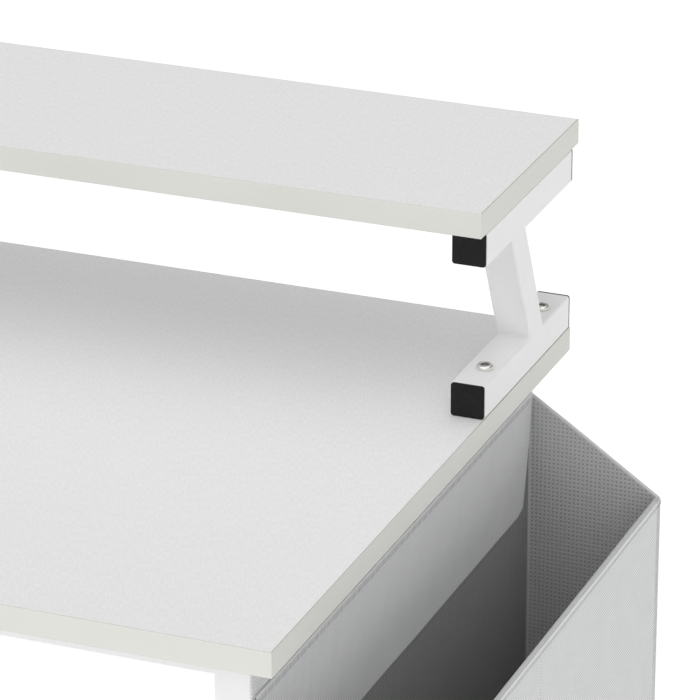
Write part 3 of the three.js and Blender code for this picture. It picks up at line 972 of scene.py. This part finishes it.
STITCH_LONG = 2.6 * MM
STITCH_PROUD = 0.02 * MM
SEAM_INSET = 8 * MM
SEAM_STEPS = 60
seams = Shape()
sew(seams, loop_path(3.8 * MM, STITCH_PROUD), 3.0 * MM, STITCH_LONG, 0.21 * MM)
sew(seams, loop_path(0, STITCH_PROUD, BAG_LOW.z + 7 * MM), 3.2 * MM, STITCH_LONG, 0.24 * MM)
for end in (-1, 1):
    y = BAG_MIDDLE + end * BAG_LONG / 2
    for inset in (SEAM_INSET, BAG_WIDE - SEAM_INSET):
        x = BAG_LOW.x + inset
        path = []
        for i in range(SEAM_STEPS + 1):
            z = BAG_LOW.z + 9 * MM + (lip(x) - 5 * MM - BAG_LOW.z - 9 * MM) * i / SEAM_STEPS
            path.append((relax(Vector((x, y, z))) + Vector((0, end * STITCH_PROUD, 0)),
                         Vector((0, end, 0))))
        sew(seams, path, 3.2 * MM, STITCH_LONG, 0.22 * MM)
build("bag_seam_stitches", seams, THREAD, "side_bag", sharp=60.0)

# ---- cloth sheets: the flap, the hanging panel and the sleeve ----
CLOTH = 0.5 * MM


def offset_outline(path, thickness):
    """Both sides of an open path in a plane, as one closed outline."""
    left, right = [], []
    for i, point in enumerate(path):
        before = path[max(i - 1, 0)]
        after = path[min(i + 1, len(path) - 1)]
        run = Vector((after[0] - before[0], after[1] - before[1])).normalized()
        out = Vector((-run.y, run.x)) * (thickness / 2)
        left.append((point[0] + out.x, point[1] + out.y))
        right.append((point[0] - out.x, point[1] - out.y))
    return left + right[::-1]


def path_length(path):
    return sum(math.dist(a, b) for a, b in zip(path, path[1:]))


def rounded(path, radius, steps=5):
    """The same path with its corners turned into arcs."""
    result = [path[0]]
    for before, here, after in zip(path, path[1:], path[2:]):
        a = Vector(before) - Vector(here)
        b = Vector(after) - Vector(here)
        reach = min(radius, a.length * 0.45, b.length * 0.45)
        start = Vector(here) + a.normalized() * reach
        stop = Vector(here) + b.normalized() * reach
        for i in range(steps + 1):
            t = i / steps
            q = start * (1 - t) ** 2 + Vector(here) * (2 * t * (1 - t)) + stop * t * t
            result.append((q.x, q.y))
    result.append(path[-1])
    return result


def refined(path, step):
    result = [path[0]]
    for a, b in zip(path, path[1:]):
        count = max(1, int(math.dist(a, b) / step))
        for i in range(1, count + 1):
            result.append((a[0] + (b[0] - a[0]) * i / count, a[1] + (b[1] - a[1]) * i / count))
    return result


def cloth_sheet(name, path, ends, finish, body, stands_for, wave, columns=150):
    """A strip of cloth whose side view is path, in X and Z, between two ends in Y.

    ends gives the two Y places for a share of the path's length.
    """
    sheet = Shape()
    total = path_length(path)
    outline = offset_outline(path, CLOTH)
    shares = [0.0]
    for a, b in zip(path, path[1:]):
        shares.append(shares[-1] + math.dist(a, b) / total)
    shares = shares + shares[::-1]
    rings, cloth = [], []
    for c in range(columns + 1):
        ring, uv = [], []
        for (x, z), share in zip(outline, shares):
            y0, y1 = ends(share)
            y = y0 + (y1 - y0) * c / columns
            ring.append(Vector((x + wave(y, share), y, z)))
            uv.append((y, share * total))
        rings.append(ring)
        cloth.append(uv)
    sheet.loft(rings, cloth=cloth)
    piece = build(name, sheet, finish, body, stands_for, sharp=60.0)
    widths = [ends(i / 100)[1] - ends(i / 100)[0] for i in range(101)]
    return piece


FLAP_LOW, FLAP_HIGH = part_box("bag_inner_flap")
flap_x = (FLAP_LOW.x + FLAP_HIGH.x) / 2
tail_x = BAG_LOW.x - 0.02 * MM
flap_path = refined(rounded([
    (tail_x, LIP_DESK - 4 * MM), (tail_x, LIP_DESK + 0.75 * MM),
    (flap_x + 0.15 * MM, LIP_DESK + 0.75 * MM), (flap_x, FLAP_LOW.z)], 1.2 * MM), 3 * MM)
FLAP_FOLD_SHARE = 0.08
FLAP_END_TOP = 2.5 * MM
FLAP_END_LOW = 21 * MM
FLAP_CHAMFER = 10 * MM


def flap_ends(share):
    """The flap is as long as the bag at its fold and narrows below it."""
    below = max(0.0, share - FLAP_FOLD_SHARE) / (1 - FLAP_FOLD_SHARE)
    slope = FLAP_END_TOP * smooth(share / FLAP_FOLD_SHARE) + 0.5 * MM
    slope += (FLAP_END_LOW - FLAP_END_TOP) * below ** 1.25
    slope += FLAP_CHAMFER * max(0.0, (below - 0.965) / 0.035)
    return BAG_LOW.y + slope, BAG_HIGH.y - slope


def flap_wave(y, share):
    loose = smooth((share - 0.25) / 0.75)
    swell = noise.noise(Vector((y * 11.0, share * 1.3, 3.0)))
    return loose * (0.35 + 0.6 * swell) * MM


cloth_sheet("bag_turned_flap", flap_path, flap_ends, FLAP, "side_bag", ["bag_inner_flap"],
            flap_wave)

PANEL_LOW, PANEL_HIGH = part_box("bag_hanging_panel")
PANEL_RIPPLE = 0.12 * MM
panel_x = (PANEL_LOW.x + PANEL_HIGH.x) / 2
panel_path = refined([(panel_x, PANEL_LOW.z), (panel_x, PANEL_HIGH.z)], 4 * MM)
cloth_sheet("bag_hanging_cloth", panel_path, lambda share: (PANEL_LOW.y, PANEL_HIGH.y), OUTER,
            "desk_frame", ["bag_hanging_panel"],
            lambda y, share: PANEL_RIPPLE * noise.noise(Vector((y * 16.0, share, 9.0))))

SLEEVE_LOW, SLEEVE_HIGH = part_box("bag_rail_sleeve")
inward = CLOTH / 2 + 0.05 * MM
rail_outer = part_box("right_rail")[1].x
sleeve_path = refined(rounded([
    (SLEEVE_HIGH.x - inward, SLEEVE_HIGH.z - inward),
    (SLEEVE_LOW.x + inward, SLEEVE_HIGH.z - inward),
    (SLEEVE_LOW.x + inward, SLEEVE_LOW.z + inward),
    (rail_outer - 0.3 * MM, SLEEVE_LOW.z + inward)],
    2.5 * MM), 4 * MM)
cloth_sheet("bag_sleeve_cloth", sleeve_path, lambda share: (SLEEVE_LOW.y, SLEEVE_HIGH.y), OUTER,
            "desk_frame", ["bag_rail_sleeve"],
            lambda y, share: 0.0)

# Overlock threads down the flap's hem, just below its fold. The threads are real; their dark grey
# is painted shade for the shadow lines between them.
OVERLOCK_END = 5 * MM
OVERLOCK_PITCH = 2.3 * MM
overlock = Shape()
hem_x = flap_x + CLOTH / 2
y = BAG_LOW.y + OVERLOCK_END
while y < BAG_HIGH.y - OVERLOCK_END:
    lean = rng.uniform(-0.15, 0.15) * MM
    stitch(overlock, Vector((hem_x, y + lean, LIP_DESK - 6.0 * MM)),
           Vector((hem_x, y, LIP_DESK - 0.4 * MM)), Vector((1, 0, 0)), 0.34 * MM)
    y += OVERLOCK_PITCH
build("bag_lip_overlock", overlock, HEM_THREAD_PAINTED_SHADE, "side_bag", sharp=60.0)

# ---- stage: pale floor, white studio all round ----
FLOOR_RADIUS = 9.0
FLOOR_SIDES = 64
FLOOR_GLOW = 0.49
floor_shape = Shape()
ring = []
for k in range(FLOOR_SIDES):
    angle = k / FLOOR_SIDES * 2 * math.pi
    ring.append(Vector((math.cos(angle) * FLOOR_RADIUS, math.sin(angle) * FLOOR_RADIUS, 0.0)))
below = [p - Vector((0, 0, 0.05)) for p in ring]
floor_shape.loft([below, ring])
floor_mesh = bpy.data.meshes.new("studio_floor")
floor_mesh.from_pydata([tuple(p) for p in floor_shape.points], [], floor_shape.faces)
floor = bpy.data.objects.new("studio_floor", floor_mesh)
bpy.context.scene.collection.objects.link(floor)
paper = Finish("floor_paper", Roughness=0.9)
paper.set("Base Color", paper.mix(paper.noise(paper.place(), 3.0), grey(0.59), grey(0.61)))
paper.shader.inputs["Emission Color"].default_value = grey(1.0)
paper.shader.inputs["Emission Strength"].default_value = FLOOR_GLOW
floor_mesh.materials.append(paper.material)

DOME_LEVEL = 0.34
KEY_LEVEL = 1.13
KEY_SPREAD = 1.35
KEY_DIRECTION = Vector((0.0, -0.49, 0.88)).normalized()
world = bpy.data.worlds.new("white_studio")
world.use_nodes = True
studio = world.node_tree


def studio_node(kind, inputs, **settings):
    return add_node(studio, kind, inputs, settings)


# An even white dome that brightens towards a broad soft key, in front and above.
direction = studio_node("ShaderNodeTexCoord", {}).outputs["Generated"]
facing_key = studio_node("ShaderNodeVectorMath", {0: direction, 1: KEY_DIRECTION},
                         operation="DOT_PRODUCT").outputs["Value"]
facing_key = studio_node("ShaderNodeMath", {0: facing_key, 1: 0.0}, operation="MAXIMUM").outputs[0]
glow = studio_node("ShaderNodeMath", {0: facing_key, 1: KEY_SPREAD}, operation="POWER").outputs[0]
sky = studio_node("ShaderNodeMath", {0: glow, 1: KEY_LEVEL, 2: DOME_LEVEL},
                  operation="MULTIPLY_ADD").outputs[0]
height = studio_node("ShaderNodeSeparateXYZ", {"Vector": direction}).outputs[2]
above = studio_node("ShaderNodeMath", {0: height, 1: 0.0}, operation="GREATER_THAN").outputs[0]
level = studio_node("ShaderNodeMix", {0: above, 2: 1.0, 3: sky}, data_type="FLOAT").outputs[0]
background = studio.nodes["Background"]
background.inputs["Color"].default_value = grey(1.0)
studio.links.new(level, background.inputs["Strength"])
bpy.context.scene.world = world
bpy.context.scene.view_settings.view_transform = "Standard"
